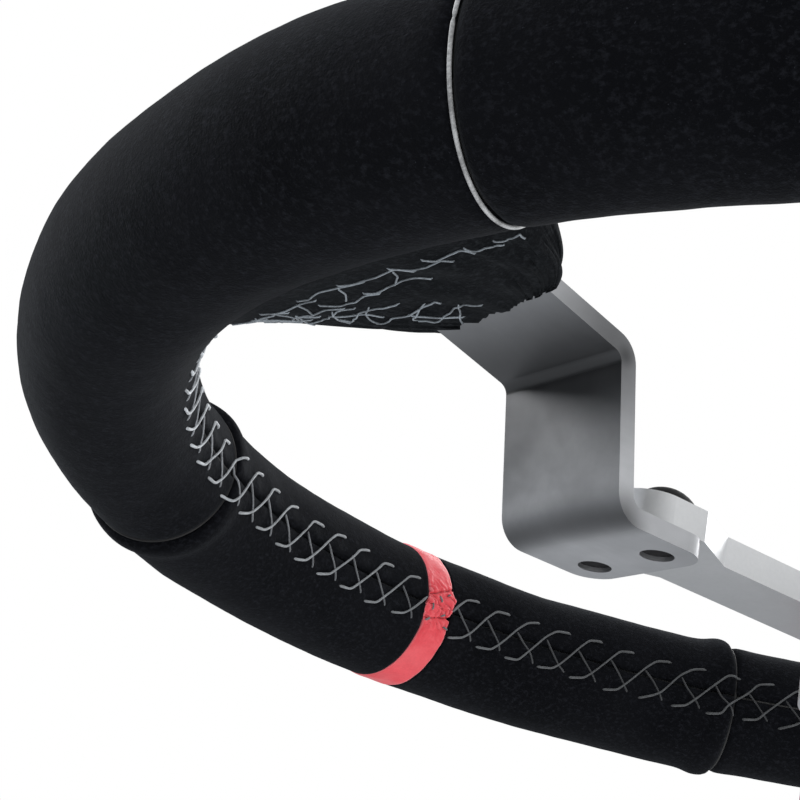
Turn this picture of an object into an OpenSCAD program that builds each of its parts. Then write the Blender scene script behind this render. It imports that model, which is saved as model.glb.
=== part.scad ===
// Quick release steering wheel: a wrapped round rim, three bent flat spokes,
// a hub plate and a ball-lock quick release hub on a splined column adapter.
// The origin is the centre of the column adapter's mounting face. The driver
// sits on the -Y side, +Z is the 12 o'clock mark and +X is the driver's right.

/* [Rim] */
// Outer diameter of the wrapped rim
wheel_od = 350; // [330:1:380]
// Diameter of the wrapped grip section
grip_d = 33; // [30:0.5:34]
// Thickness of the wrap
wrap_t = 1.3; // [1:0.1:1.6]
// Outer diameter of the steel tube inside the rim
core_d = 12.7; // [12:0.1:13]
// Wall of the steel tube
core_wall = 1.5; // [1:0.1:2]
// Angle of the 12 o'clock stripe, seen from the wheel's centre
stripe_deg = 3.1; // [2:0.1:6]
// Angle from 12 o'clock to the joint where a hand grip starts
grip_start_deg = 34.5; // [30:0.5:45]
// Angle from 12 o'clock to the joint where a hand grip ends
grip_end_deg = 103; // [103:0.5:110]

/* [Spokes] */
// Angle from 12 o'clock to each side spoke
side_spoke_deg = 87; // [85:1:90]
// Width of the flat bar
spoke_w = 26; // [24:0.5:28]
// Thickness of the flat bar
spoke_t = 3; // [2.5:0.1:3]
// Inner radius of both bends
bend_r = 2; // [1.5:0.1:2.5]
// Distance from the rim's plane to the feet's column side
dish = 32; // [28:1:34]
// Distance from the axis to a foot's two holes
foot_hole_r = 81.5; // [81:0.5:83]
// Distance between a foot's two holes
foot_hole_gap = 13.6; // [12:0.2:14]
// Diameter of a foot's holes
foot_hole_d = 5.4; // [5:0.1:5.6]

/* [Hub] */
// Diameter of the hub plate's centre disc and of the flange behind it
hub_d = 52; // [52:1:60]
// Pitch circle diameter of the screws that join those two
hub_pcd = 40; // [40:0.5:42]
// Thickness of the hub plate
plate_t = 5; // [4:0.5:5]
// Width of a hub plate arm between the disc and the foot
arm_w = 14; // [12:1:20]
// Outer diameter of the wheel-side barrel
barrel_d = 32; // [32:0.5:33]
// Diameter of the splined shaft between its teeth
shaft_d = 22; // [22:0.1:22.4]
// How far the release collar travels
collar_travel = 4.5; // [4:0.1:4.5]
// Diameter of a lock ball
ball_d = 6; // [5.8:0.1:6]

/* [Column side] */
// Diameter of the adapter's bolt flange
flange_d = 84; // [82:1:90]
// Pitch circle diameter of the adapter's bolt holes
flange_pcd = 70; // [70:1:74]

/* [Hidden] */
$fn = 96;
EPS = 0.02;
CLEAR = 0.05;                       // radial running clearance
SIDES = ["left", "right", "bottom"];
SIDE_DEG = [side_spoke_deg, -side_spoke_deg, 180];

tube_r = grip_d / 2;
ring_r = wheel_od / 2 - tube_r;
foam_r = tube_r - wrap_t;
core_r = core_d / 2;
joint_gap_deg = 0.25;               // half of the groove between two panels
seam_cord_r = 0.55;
stitch_r = 0.4;
cover_wide = 46;                    // a cover's reach along the rim, towards 12 o'clock
cover_narrow = 36;                  // and on its other side
cover_tip_r = 116;
cover_wide_deg = 20;                // what those reaches take up of the rim
cover_narrow_deg = 16;

// Clock angles of each run on the left, 0, and on the right, 1
HAND = [1, -1];
function run(k, a, b) = [HAND[k] * a, HAND[k] * b];
function top_run(k) = run(k, stripe_deg / 2, grip_start_deg - joint_gap_deg);
function grip_run(k) = run(k, grip_start_deg + joint_gap_deg, grip_end_deg - joint_gap_deg);
function lower_run(k) = run(k, grip_end_deg + joint_gap_deg, 180);
function grip_stitch(k) = run(k, grip_start_deg + joint_gap_deg, SIDE_DEG[0] - cover_wide_deg);
function lower_stitch(k) = run(k, grip_end_deg + joint_gap_deg, 180 - cover_narrow_deg);

// Spoke outline along the radius r and the axis z, on the bar's column side
knee = [100, -7];
heel = [96, -dish];
toe_r = 76;
tail_r = 163;
tail_rise = 4 / 17;                 // slope of the bar from the knee to the rim
tail = [tail_r, knee[1] + (tail_r - knee[0]) * tail_rise];
foot_corner_r = 5;
slot_play = 0.05;

// Hub, along the axis from the rim's plane towards the column
plate_top = -dish + spoke_t + plate_t;
plate_bottom = -dish + spoke_t;
flange_t = 6;
barrel_top = plate_bottom - flange_t;
barrel_r = barrel_d / 2;
shaft_r = shaft_d / 2;
spline_r = 12.5;
spline_count = 8;
spline_w = 3;
spline_play = 0.1;
pocket_depth = 9;
land_len = 2;
ball_r = ball_d / 2;
ball_lift = 1.4;                    // how far a ball moves out to let go
ball_locked_r = barrel_r - ball_r;
ball_free_r = ball_locked_r + ball_lift;
ball_play = 0.14;
ball_count = 4;
ramp = ball_lift / collar_travel;   // slope of the collar's inner cone
collar_top = barrel_top - 1;
pocket_floor = collar_top - pocket_depth;
ball_z = pocket_floor - land_len - collar_travel - 0.8;
recess_r = ball_free_r + ball_r / cos(atan(ramp)) + ball_play;
land_r = barrel_r + CLEAR;
recess_floor = ball_z - 3.6;
collar_bottom = recess_floor - 2.1;
collar_r = 24;
ring_clip_top = collar_bottom - collar_travel - 0.3;
clip_t = 1.2;
barrel_bottom = ring_clip_top - clip_t - 1.3;
adapter_top = barrel_bottom - 0.7;
adapter_t = 8;
mount_z = adapter_top - adapter_t;
shaft_top = plate_top - 2;
wire_bore_r = 6;
m5_clear_r = 2.75;
m5_thread_r = 2.25;
cone_r = 4.6;                       // countersunk head
cone_t = 2.4;

// ---------------------------------------------------------------- placing

// Stands the wheel upright, with the adapter's mounting face at the origin.
module upright() {
    rotate([90, 0, 0])
        translate([0, 0, -mount_z])
            children();
}

// Turns a child that points to +X so that it sits deg round from 12 o'clock,
// anticlockwise as the driver sees it.
module at_clock(deg) {
    rotate([0, 0, 90 + deg])
        children();
}

// A stretch of ring between two clock angles, made from a 2D section.
module arc(run) {
    rotate([0, 0, 90 + min(run)])
        rotate_extrude(angle = max(run) - min(run))
            children();
}

// ---------------------------------------------------------------- spokes

// A straight stretch of bar from p to q, with its thickness on the left.
module bar_run(p, q, t) {
    d = q - p;
    translate(p)
        rotate(atan2(d[1], d[0]))
            square([norm(d), t]);
}

// How much of each leg a bend takes up.
function bend_leg(turn, r) = r * tan(turn / 2);

// The bar's side outline, thickened by play on every face.
module bar_outline(play) {
    t = spoke_t + 2 * play;
    fall = atan2(knee[1] - heel[1], knee[0] - heel[0]);
    rise = atan(tail_rise);
    off = [play * sin(rise), -play * cos(rise)];
    // foot
    translate([toe_r, heel[1] - play])
        square([heel[0] - toe_r - bend_leg(fall, bend_r + t) + EPS, t]);
    // heel bend, from the foot up to the leg
    heel_leg = bend_leg(fall, bend_r + t);
    translate([heel[0] - heel_leg, heel[1] - play + bend_r + t])
        bend_sector(-90, -90 + fall, t);
    // leg
    u = [cos(fall), sin(fall)];
    leg_in = heel + u * heel_leg;
    knee_leg = bend_leg(fall - rise, bend_r);
    leg_out = knee - u * knee_leg;
    n = [sin(fall), -cos(fall)] * play;
    bar_run(leg_in + n, leg_out + n, t);
    // knee bend, back out to the rim
    v = [cos(rise), sin(rise)];
    arm_in = knee + v * knee_leg;
    bend_mid = leg_out + [sin(fall), -cos(fall)] * bend_r;
    translate(bend_mid)
        bend_sector(90 + rise, 90 + fall, t);
    bar_run(arm_in + off, tail + off, t);
}

// The part of a ring of thickness t between two angles.
module bend_sector(a0, a1, t) {
    far = 3 * (bend_r + t);
    intersection() {
        difference() {
            circle(r = bend_r + t);
            circle(r = bend_r);
        }
        polygon([
            [0, 0],
            far * [cos(a0), sin(a0)],
            far * [cos((a0 + a1) / 2), sin((a0 + a1) / 2)],
            far * [cos(a1), sin(a1)]
        ]);
    }
}

module bar_solid(play) {
    rotate([90, 0, 0])
        translate([0, 0, -spoke_w / 2 - play])
            linear_extrude(spoke_w + 2 * play)
                bar_outline(play);
}

// Cuts the square corners off a foot, to leave them round.
module foot_corner_cut() {
    for (side = [-1, 1])
        difference() {
            translate([toe_r - 1, side > 0 ? spoke_w / 2 - foot_corner_r : -spoke_w / 2 - 1, -dish - 1])
                cube([foot_corner_r + 1, foot_corner_r + 1, spoke_t + 2]);
            translate([toe_r + foot_corner_r, side * (spoke_w / 2 - foot_corner_r), -dish - 2])
                cylinder(r = foot_corner_r, h = spoke_t + 4);
        }
}

module foot_holes(r, z0, h) {
    for (side = [-1, 1])
        translate([foot_hole_r, side * foot_hole_gap / 2, z0])
            cylinder(r = r, h = h);
}

module spoke(deg) {
    color([0.42, 0.43, 0.44])
        at_clock(deg)
            difference() {
                bar_solid(0);
                foot_corner_cut();
                foot_holes(foot_hole_d / 2, -dish - 1, spoke_t + 2);
            }
}

// A weld bead down each edge of the bar, where it lies on the rim's tube.
module spoke_welds() {
    bead_r = 2.2;
    bead_len = 9;
    color([0.35, 0.35, 0.37])
        for (deg = SIDE_DEG)
            at_clock(deg)
                for (side = [-1, 1])
                    difference() {
                        translate([ring_r - bead_len / 2, side * (spoke_w / 2 + 0.6), core_r + 1.2])
                            rotate([0, 90, 0])
                                cylinder(r = bead_r, h = bead_len, $fn = 24);
                        bar_solid(0);
                        core_ring(core_r);
                    }
}

// ---------------------------------------------------------------- rim

module core_ring(r) {
    rotate_extrude()
        translate([ring_r, 0])
            circle(r = r);
}

module rim_core() {
    color([0.4, 0.4, 0.42])
        rotate_extrude()
            translate([ring_r, 0])
                difference() {
                    circle(r = core_r);
                    circle(r = core_r - core_wall);
                }
}

module rim_foam() {
    color([0.15, 0.15, 0.15])
        difference() {
            rotate_extrude()
                translate([ring_r, 0])
                    difference() {
                        circle(r = foam_r);
                        circle(r = core_r);
                    }
            for (deg = SIDE_DEG)
                at_clock(deg) {
                    bar_solid(slot_play);
                    weld_room();
                }
        }
}

// Room in the foam for the two weld beads.
module weld_room() {
    translate([ring_r - 5, -spoke_w / 2 - 3.2, core_r - 3.2])
        cube([10, spoke_w + 6.4, 6.8]);
}

// One sewn panel of wrap. Spokes pass through it where they meet the rim.
module wrap_panel(run) {
    color([0.07, 0.07, 0.08])
        difference() {
            arc(run)
                translate([ring_r, 0])
                    difference() {
                        circle(r = tube_r);
                        circle(r = foam_r);
                    }
            for (deg = SIDE_DEG)
                at_clock(deg)
                    bar_solid(slot_play);
        }
}

module centre_stripe() {
    color([0.85, 0.25, 0.28])
        arc([-stripe_deg / 2, stripe_deg / 2])
            translate([ring_r, 0])
                difference() {
                    circle(r = tube_r + 0.2);
                    circle(r = foam_r);
                }
}

// A cord laid round the grip, in the groove between two panels.
module seam_cord(deg, sunk) {
    color([0.6, 0.62, 0.64])
        at_clock(deg)
            translate([ring_r, 0, 0])
                rotate([90, 0, 0])
                    rotate_extrude()
                        translate([tube_r - sunk, 0])
                            circle(r = seam_cord_r, $fn = 16);
}

// The hand-sewn closing seam, which runs along the inside of the rim.
module stitch_run(run) {
    color([0.7, 0.71, 0.72])
        arc(run)
            translate([ring_r - tube_r - stitch_r - EPS, 0])
                circle(r = stitch_r, $fn = 16);
}

// How far from the axis the rim's inside lies, at a distance w to a spoke's side.
function rim_inside(w) = sqrt(pow(ring_r - tube_r, 2) - w * w);

// A web of wrap sewn over the root of a spoke, spreading out along the rim. It
// reaches w0 to the spoke's clockwise side and w1 to the other, as the driver sees it.
module spoke_cover(deg, w0, w1) {
    root_r = ring_r - tube_r + 6;
    root_half_t = 12;
    tip_half_w = spoke_w / 2 + 3;
    tip_half_t = 3.6;
    neck_r = cover_tip_r + 9;
    neck_half_w = tip_half_w + 4;
    tip_mid = knee[1] + (cover_tip_r - knee[0]) * tail_rise + spoke_t / 2;
    color([0.07, 0.07, 0.08])
        at_clock(deg)
            difference() {
                intersection() {
                    translate([0, 0, -root_half_t])
                        linear_extrude(2 * root_half_t)
                            polygon([
                                [cover_tip_r, -tip_half_w],
                                [cover_tip_r, tip_half_w],
                                [neck_r, neck_half_w],
                                [rim_inside(w1), w1],
                                [root_r, w1],
                                [root_r, -w0],
                                [rim_inside(w0), -w0],
                                [neck_r, -neck_half_w]
                            ]);
                    rotate([90, 0, 0])
                        translate([0, 0, -cover_wide])
                            linear_extrude(2 * cover_wide)
                                polygon([
                                    [cover_tip_r, tip_mid - tip_half_t],
                                    [root_r, -root_half_t],
                                    [root_r, root_half_t],
                                    [cover_tip_r, tip_mid + tip_half_t]
                                ]);
                }
                core_ring(tube_r + 0.1);
                bar_solid(slot_play);
            }
}

// ---------------------------------------------------------------- hub

// Six holes or screws round a pitch circle, with one at 12 o'clock.
module round_pcd(pcd) {
    for (i = [0:5])
        rotate([0, 0, 30 + 60 * i])
            translate([pcd / 2, 0, 0])
                children();
}

module hub_plate() {
    color([0.72, 0.73, 0.74])
        difference() {
            union() {
                translate([0, 0, plate_bottom])
                    cylinder(r = hub_d / 2, h = plate_t);
                for (deg = SIDE_DEG)
                    at_clock(deg)
                        hub_arm();
            }
            translate([0, 0, plate_bottom - 1])
                cylinder(r = spline_r + 1.5, h = plate_t + 2);
            round_pcd(hub_pcd) {
                translate([0, 0, plate_bottom - 1])
                    cylinder(r = m5_clear_r, h = plate_t + 2);
                translate([0, 0, plate_top - cone_t])
                    cylinder(r1 = m5_clear_r, r2 = cone_r + 0.35, h = cone_t + EPS);
            }
            for (deg = SIDE_DEG)
                at_clock(deg)
                    foot_holes(foot_hole_d / 2 + 0.3, plate_bottom - 1, plate_t + 2);
        }
}

// One arm of the hub plate: a slim web that widens to a pad over the foot.
module hub_arm() {
    pad_w = spoke_w - 2;
    pad_start = toe_r + 1;
    pad_end = 90;
    corner = 6;
    translate([0, 0, plate_bottom])
        linear_extrude(plate_t) {
            polygon([
                [hub_d / 2 - 8, -arm_w / 2 - 3],
                [hub_d / 2 + 6, -arm_w / 2],
                [pad_start - 10, -arm_w / 2],
                [pad_start, -pad_w / 2],
                [pad_end - corner, -pad_w / 2],
                [pad_end - corner, pad_w / 2],
                [pad_start, pad_w / 2],
                [pad_start - 10, arm_w / 2],
                [hub_d / 2 + 6, arm_w / 2],
                [hub_d / 2 - 8, arm_w / 2 + 3]
            ]);
            translate([pad_end - corner - EPS, -pad_w / 2 + corner])
                square([corner + EPS, pad_w - 2 * corner]);
            for (side = [-1, 1])
                translate([pad_end - corner, side * (pad_w / 2 - corner)])
                    circle(r = corner);
        }
}

// A countersunk screw, head up, with its top at z = 0.
module countersunk_screw(shank_r, length) {
    difference() {
        union() {
            translate([0, 0, -length])
                cylinder(r = shank_r, h = length);
            translate([0, 0, -cone_t])
                cylinder(r1 = shank_r, r2 = cone_r, h = cone_t);
        }
        translate([0, 0, -1.8])
            cylinder(r = 1.7, h = 3, $fn = 6);
    }
}

// A button-head screw, head up, with the underside of its head at z = 0.
module button_screw(shank_r, length) {
    head_r = 5.2;
    head_t = 2.9;
    dome_r = (head_r * head_r + head_t * head_t) / (2 * head_t);
    difference() {
        union() {
            translate([0, 0, -length])
                cylinder(r = shank_r, h = length + EPS);
            intersection() {
                translate([0, 0, head_t - dome_r])
                    sphere(r = dome_r);
                cylinder(r = head_r, h = head_t);
            }
        }
        translate([0, 0, head_t - 1.9])
            cylinder(r = 2.1, h = 3, $fn = 6);
    }
}

module hub_screws() {
    color([0.15, 0.15, 0.16])
        round_pcd(hub_pcd)
            translate([0, 0, plate_top])
                countersunk_screw(m5_thread_r, plate_t + flange_t);
}

module spoke_screws() {
    short_of_face = 0.8;
    color([0.12, 0.12, 0.13])
        for (deg = SIDE_DEG)
            at_clock(deg)
                for (side = [-1, 1])
                    translate([foot_hole_r, side * foot_hole_gap / 2, plate_top])
                        button_screw(foot_hole_d / 2, plate_t + spoke_t - short_of_face);
}

// Spline teeth or their grooves, out to radius r, each w wide.
module spline_teeth(r, w, z0, h) {
    for (i = [0:spline_count - 1])
        rotate([0, 0, 360 / spline_count * i])
            intersection() {
                translate([shaft_r - 2, -w / 2, z0])
                    cube([r - shaft_r + 3, w, h]);
                translate([0, 0, z0])
                    cylinder(r = r, h = h);
            }
}

module ball_at(i, r, grow) {
    rotate([0, 0, 360 / spline_count / 2 + 360 / ball_count * (i - 1)])
        translate([r, 0, ball_z])
            sphere(r = ball_r + grow);
}

module qr_body() {
    color([0.78, 0.79, 0.8])
        difference() {
            union() {
                translate([0, 0, barrel_top])
                    cylinder(r = hub_d / 2, h = flange_t);
                translate([0, 0, barrel_bottom])
                    cylinder(r = barrel_r, h = barrel_top - barrel_bottom + 1);
            }
            translate([0, 0, barrel_bottom - 1])
                cylinder(r = shaft_r + CLEAR, h = plate_bottom - barrel_bottom + 2);
            spline_teeth(spline_r + 0.3, spline_w + 2 * spline_play,
                barrel_bottom - 1, plate_bottom - barrel_bottom + 2);
            round_pcd(hub_pcd)
                translate([0, 0, barrel_top - 1])
                    cylinder(r = m5_thread_r, h = flange_t + 2);
            for (i = [1:ball_count])
                rotate([0, 0, 360 / spline_count / 2 + 360 / ball_count * (i - 1)])
                    translate([shaft_r - 3, 0, ball_z])
                        rotate([0, 90, 0])
                            cylinder(r = ball_r + CLEAR, h = barrel_r - shaft_r + 5);
            clip_groove();
        }
}

module clip_groove() {
    translate([0, 0, ring_clip_top - clip_t])
        difference() {
            cylinder(r = barrel_r + 2, h = clip_t);
            translate([0, 0, -1])
                cylinder(r = barrel_r - 0.8, h = clip_t + 2);
        }
}

// Spring steel ring, open on one side, that stops the collar.
module collar_clip() {
    gap_w = 7;
    color([0.3, 0.3, 0.32])
        translate([0, 0, ring_clip_top - clip_t])
            difference() {
                cylinder(r = barrel_r + 2, h = clip_t);
                translate([0, 0, -1])
                    cylinder(r = barrel_r - 0.8, h = clip_t + 2);
                translate([0, -gap_w / 2, -1])
                    cube([barrel_r + 4, gap_w, clip_t + 2]);
            }
}

// The collar is pulled towards the driver, which brings its wide recess over
// the balls. Its cone pushes them back in as the spring returns it.
module release_collar() {
    knurl_count = 30;
    groove_r = 0.9;
    neck_r = barrel_r + 6;
    ramp_top = ball_z + (recess_r - land_r) / ramp;
    color([0.62, 0.1, 0.12])
        difference() {
            rotate_extrude()
                polygon([
                    [barrel_r + 3, collar_top],
                    [neck_r - 1, collar_top],
                    [neck_r, collar_top - 1],
                    [neck_r, collar_top - 5],
                    [collar_r, collar_top - 7.5],
                    [collar_r, collar_bottom + 2],
                    [collar_r - 2, collar_bottom],
                    [land_r, collar_bottom],
                    [land_r, recess_floor - 1.2],
                    [recess_r + 0.1, recess_floor],
                    [recess_r + 0.1, ball_z - 0.1 / ramp],
                    [land_r, ramp_top],
                    [land_r, pocket_floor],
                    [barrel_r + 3, pocket_floor]
                ]);
            for (i = [0:knurl_count - 1])
                rotate([0, 0, 360 / knurl_count * i])
                    translate([collar_r + 0.3, 0, collar_bottom - 1])
                        cylinder(r = groove_r, h = collar_top - collar_bottom, $fn = 16);
        }
}

// Compression spring in the collar's pocket, as a swept coil.
module collar_spring() {
    wire_r = 0.8;
    coil_r = barrel_r + 1.6;
    turns = 4.5;
    per_turn = 20;
    sides = 8;
    z_low = pocket_floor + wire_r + EPS;
    z_high = barrel_top - wire_r - EPS;
    steps = turns * per_turn;
    rings = [for (k = [0:steps]) let (
        a = 360 * turns * k / steps,
        z = z_low + (z_high - z_low) * k / steps
    ) [for (j = [0:sides - 1]) let (
        b = -360 * j / sides,
        r = coil_r + wire_r * cos(b)
    ) [r * cos(a), r * sin(a), z + wire_r * sin(b)]]];
    points = [for (ring = rings) each ring];
    walls = [for (k = [0:steps - 1]) for (j = [0:sides - 1]) [
        k * sides + j,
        k * sides + (j + 1) % sides,
        (k + 1) * sides + (j + 1) % sides,
        (k + 1) * sides + j
    ]];
    start_cap = [[for (j = [sides - 1:-1:0]) j]];
    end_cap = [[for (j = [0:sides - 1]) steps * sides + j]];
    color([0.5, 0.5, 0.52])
        polyhedron(points = points, faces = concat(walls, start_cap, end_cap));
}

module lock_ball(i) {
    color([0.85, 0.85, 0.87])
        ball_at(i, ball_free_r, 0);
}

// The bolt-on plate that the shaft is pressed into.
module column_flange() {
    color([0.5, 0.5, 0.52])
        difference() {
            translate([0, 0, mount_z])
                cylinder(r = flange_d / 2, h = adapter_t);
            translate([0, 0, mount_z - 1])
                cylinder(r = shaft_r, h = adapter_t + 2);
            round_pcd(flange_pcd)
                translate([0, 0, mount_z - 1])
                    cylinder(r = m5_clear_r, h = adapter_t + 2);
        }
}

// The hollow shaft, with the groove that the balls lock into.
module splined_shaft() {
    groove_section_r = ball_r + 0.12;
    color([0.5, 0.5, 0.52])
        difference() {
            union() {
                translate([0, 0, mount_z])
                    cylinder(r = shaft_r, h = shaft_top - mount_z - 1);
                translate([0, 0, shaft_top - 1])
                    cylinder(r1 = shaft_r, r2 = shaft_r - 1, h = 1);
                spline_teeth(spline_r, spline_w, adapter_top, shaft_top - 3 - adapter_top);
            }
            translate([0, 0, mount_z - 1])
                cylinder(r = wire_bore_r, h = shaft_top - mount_z + 2);
            rotate_extrude()
                translate([ball_locked_r, ball_z])
                    circle(r = groove_section_r);
        }
}

// ---------------------------------------------------------------- nodes

upright() column_flange();
upright() splined_shaft();
upright() qr_body();
upright() release_collar();
upright() collar_spring();
upright() collar_clip();
for (i = [1:ball_count])
    upright() lock_ball(i);
upright() hub_plate();
upright() hub_screws();
upright() spoke_screws();
for (k = [0:2]) {
    upright() spoke(SIDE_DEG[k]);
    upright()
            spoke_cover(SIDE_DEG[k], k == 0 ? cover_wide : cover_narrow, k == 1 ? cover_wide : cover_narrow);
}
upright() spoke_welds();
upright() rim_core();
upright() rim_foam();
upright() centre_stripe();

// The rim's left and right runs, each from one clock angle to the next
for (k = [0:1]) {
    side = SIDES[k];
    upright() wrap_panel(top_run(k));
    upright() wrap_panel(grip_run(k));
    upright() wrap_panel(lower_run(k));
    upright() seam_cord(HAND[k] * grip_end_deg, 0.1);
    upright() seam_cord(HAND[k] * grip_start_deg, 0.6);
    upright() stitch_run(top_run(k));
    upright() stitch_run(grip_stitch(k));
    upright() stitch_run(lower_stitch(k));
}
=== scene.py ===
"""Quick release steering wheel: looks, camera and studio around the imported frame.

Lengths are in metres in the frame's own axes: the driver sits on -Y, +Z is the
12 o'clock mark and +X is the driver's right. A place on the rim is given by its
clock angle, anticlockwise from 12 o'clock as the driver sees it, and by its
section angle: 0 faces outward, 90 the driver, 180 the hub and 270 the column.
"""

import math

import bmesh
import bpy
import numpy as np
from mathutils import Matrix, Vector


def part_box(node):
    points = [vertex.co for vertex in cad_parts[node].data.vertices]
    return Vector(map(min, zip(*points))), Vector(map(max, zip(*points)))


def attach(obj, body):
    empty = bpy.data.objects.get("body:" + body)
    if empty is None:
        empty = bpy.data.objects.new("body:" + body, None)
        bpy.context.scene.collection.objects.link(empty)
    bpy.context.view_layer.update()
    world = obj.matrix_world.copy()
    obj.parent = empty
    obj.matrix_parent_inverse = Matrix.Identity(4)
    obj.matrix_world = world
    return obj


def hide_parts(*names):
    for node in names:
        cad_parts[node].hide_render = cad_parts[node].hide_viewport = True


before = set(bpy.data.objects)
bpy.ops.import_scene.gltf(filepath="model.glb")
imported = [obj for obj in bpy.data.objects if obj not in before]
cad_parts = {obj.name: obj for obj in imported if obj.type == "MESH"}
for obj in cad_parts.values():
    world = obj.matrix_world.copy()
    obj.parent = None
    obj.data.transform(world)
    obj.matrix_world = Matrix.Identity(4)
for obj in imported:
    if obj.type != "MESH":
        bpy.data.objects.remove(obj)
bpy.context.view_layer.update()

MM = 0.001
TAU = 2 * math.pi

# Sizes that the frame gives
CORE_LOW, CORE_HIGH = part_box("rim_core")
STRIPE_LOW, STRIPE_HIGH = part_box("centre_stripe")
PLANE_Y = (CORE_LOW.y + CORE_HIGH.y) / 2
RING_R = CORE_HIGH.z - (CORE_HIGH.y - CORE_LOW.y) / 2
STRIPE_OUTSIDE = 16.7 * MM       # the stripe's outer radius round the tube
STRIPE_HALF = STRIPE_HIGH.x / (RING_R + STRIPE_OUTSIDE)
TUBE_R = 16.5 * MM
SKIN = 1.3 * MM
SKIN_INSIDE = TUBE_R - SKIN + 0.05 * MM
GRIP_START = math.radians(34.5)
GRIP_END = math.radians(103)
END_SLANT = math.radians(0.95)   # the far joint isn't quite square to the rim
SKIN_OFFSET = {"top": 0.25 * MM, "grip": -0.5 * MM, "lower": 0.2 * MM}
GRIP_FILLS_OUT = 0.75 * MM       # how much a grip thickens past its start, and where
FILL_FROM, FILL_OVER = 0.4, 0.75
JOINT_GROOVE = (0.85 * MM, 1.0 * MM)   # half width and depth
JOINT_SWELL = 3.4 * MM
SEAM_REACH = 0.62                # section angle over which a joint fades at the closing seam
UNIT_PITCH = math.radians(3.74)  # the closing seam's stitch pitch, as a clock angle
SPOKE_CLOCK = {"left": math.radians(87), "right": math.radians(-87), "bottom": math.pi}
SPOKE_HALF_W = 13 * MM
SPOKE_T = 3 * MM
KNEE = (100 * MM, 7 * MM)        # radius, and distance behind the rim's plane
HEEL = (96 * MM, 32 * MM)
# Painted dark reflections on the spokes: each mark's place (radius, distance behind the rim's plane), its
# spread and its depth
KNEE_SHADE = (103 * MM, 6.2 * MM)
BEND_SHADE = ((KNEE_SHADE, 0.024, 0.86), (KNEE, 0.0026, 0.9), (HEEL, 0.0065, 0.85))
ARM_SLOPE = 4 / 17

WHEEL = "wheel"


# ------------------------------------------------------------------ rim places

def rim_point(clock, section, radius):
    """Points on the rim's tube, for arrays or single numbers."""
    clock, section, radius = np.broadcast_arrays(clock, section, radius)
    out = RING_R + radius * np.cos(section)
    return np.stack([
        -np.sin(clock) * out,
        PLANE_Y - radius * np.sin(section),
        np.cos(clock) * out,
    ], axis=-1)


def waves(seed, wavelength, count=14):
    """A smooth random field over rim distances u and v, about -1 to 1."""
    rng = np.random.default_rng(seed)
    turn = rng.uniform(0, TAU, count)
    length = wavelength * rng.uniform(0.6, 1.7, count)
    phase = rng.uniform(0, TAU, count)

    def field(u, v):
        total = 0
        for t, w, p in zip(turn, length, phase):
            total = total + np.sin(TAU / w * (u * math.cos(t) + v * math.sin(t)) + p)
        return total / math.sqrt(count)

    return field


LUMPS = waves(11, 34 * MM)
CREASES = waves(12, 9 * MM)


def smooth(x):
    x = np.clip(x, 0, 1)
    return x * x * (3 - 2 * x)


def grip_end(section):
    return GRIP_END + END_SLANT * np.cos(section)


def body_radius(clock, section):
    """The wrapped tube's outer radius: panels pulled down at their joints, and soft lumps."""
    a = np.abs(np.arctan2(np.sin(clock), np.cos(clock)))
    end = grip_end(section)
    ramp = 1.2 * MM / RING_R
    past_start = smooth((a - GRIP_START) / ramp + 0.5)
    past_end = smooth((a - end) / ramp + 0.5)
    r = TUBE_R + SKIN_OFFSET["top"]
    grip = SKIN_OFFSET["grip"] + GRIP_FILLS_OUT * smooth((a - GRIP_START - FILL_FROM) / FILL_OVER)
    r = r + (grip - SKIN_OFFSET["top"]) * past_start
    r = r + (SKIN_OFFSET["lower"] - grip) * past_end
    u = RING_R * clock
    v = TUBE_R * section
    r = r + 0.12 * MM * LUMPS(u, v) + 0.04 * MM * CREASES(u, v)
    # the wrap swells beside a joint, most on the side of the top panel
    near_seam = np.exp(-((np.mod(section, TAU) - math.pi) / SEAM_REACH) ** 2)
    half_width, depth = JOINT_GROOVE
    for joint, before, after in ((GRIP_START, 0.95 * MM, 0.2 * MM), (end, 0.1 * MM, 0.15 * MM)):
        d = (a - joint) * RING_R
        swell = np.where(d < 0, before * np.exp(-((d + JOINT_SWELL) / JOINT_SWELL) ** 2),
                         after * np.exp(-((d - JOINT_SWELL) / JOINT_SWELL) ** 2))
        groove = (1.0 - 0.85 * near_seam) * depth * np.exp(-(d / half_width) ** 2)
        r = r + swell * (1 - 0.8 * near_seam) - groove
    return r


def skin_radius(clock, section):
    """The outer radius with the closing seam's valley and the dimples its stitches pull."""
    r = body_radius(clock, section)
    u = RING_R * clock
    d = (np.mod(section, TAU) - math.pi) * TUBE_R
    r = r - 0.75 * MM * np.exp(-(d / (0.7 * MM)) ** 2)
    near = np.exp(-((np.abs(d) - 4.4 * MM) / (1.7 * MM)) ** 2)
    phase = TAU * clock / UNIT_PITCH
    pull = 0.16 * MM * near * (0.5 - 0.5 * np.cos(phase + 1.2 * np.sign(d)))
    ridge = 0.14 * MM * np.exp(-((np.abs(d) - 2.0 * MM) / (1.1 * MM)) ** 2)
    return r - pull + ridge * (0.6 + 0.4 * np.cos(phase * 2))


# ------------------------------------------------------------------ mesh makers

def new_mesh(name, verts, faces, smooth_faces=True, recalc=True):
    mesh = bpy.data.meshes.new(name)
    mesh.from_pydata(verts, [], faces)
    if recalc:
        bm = bmesh.new()
        bm.from_mesh(mesh)
        bmesh.ops.recalc_face_normals(bm, faces=bm.faces)
        bm.to_mesh(mesh)
        bm.free()
    mesh.polygons.foreach_set("use_smooth", [smooth_faces] * len(mesh.polygons))
    mesh.update()
    piece = bpy.data.objects.new(name, mesh)
    bpy.context.scene.collection.objects.link(piece)
    return piece


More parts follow.
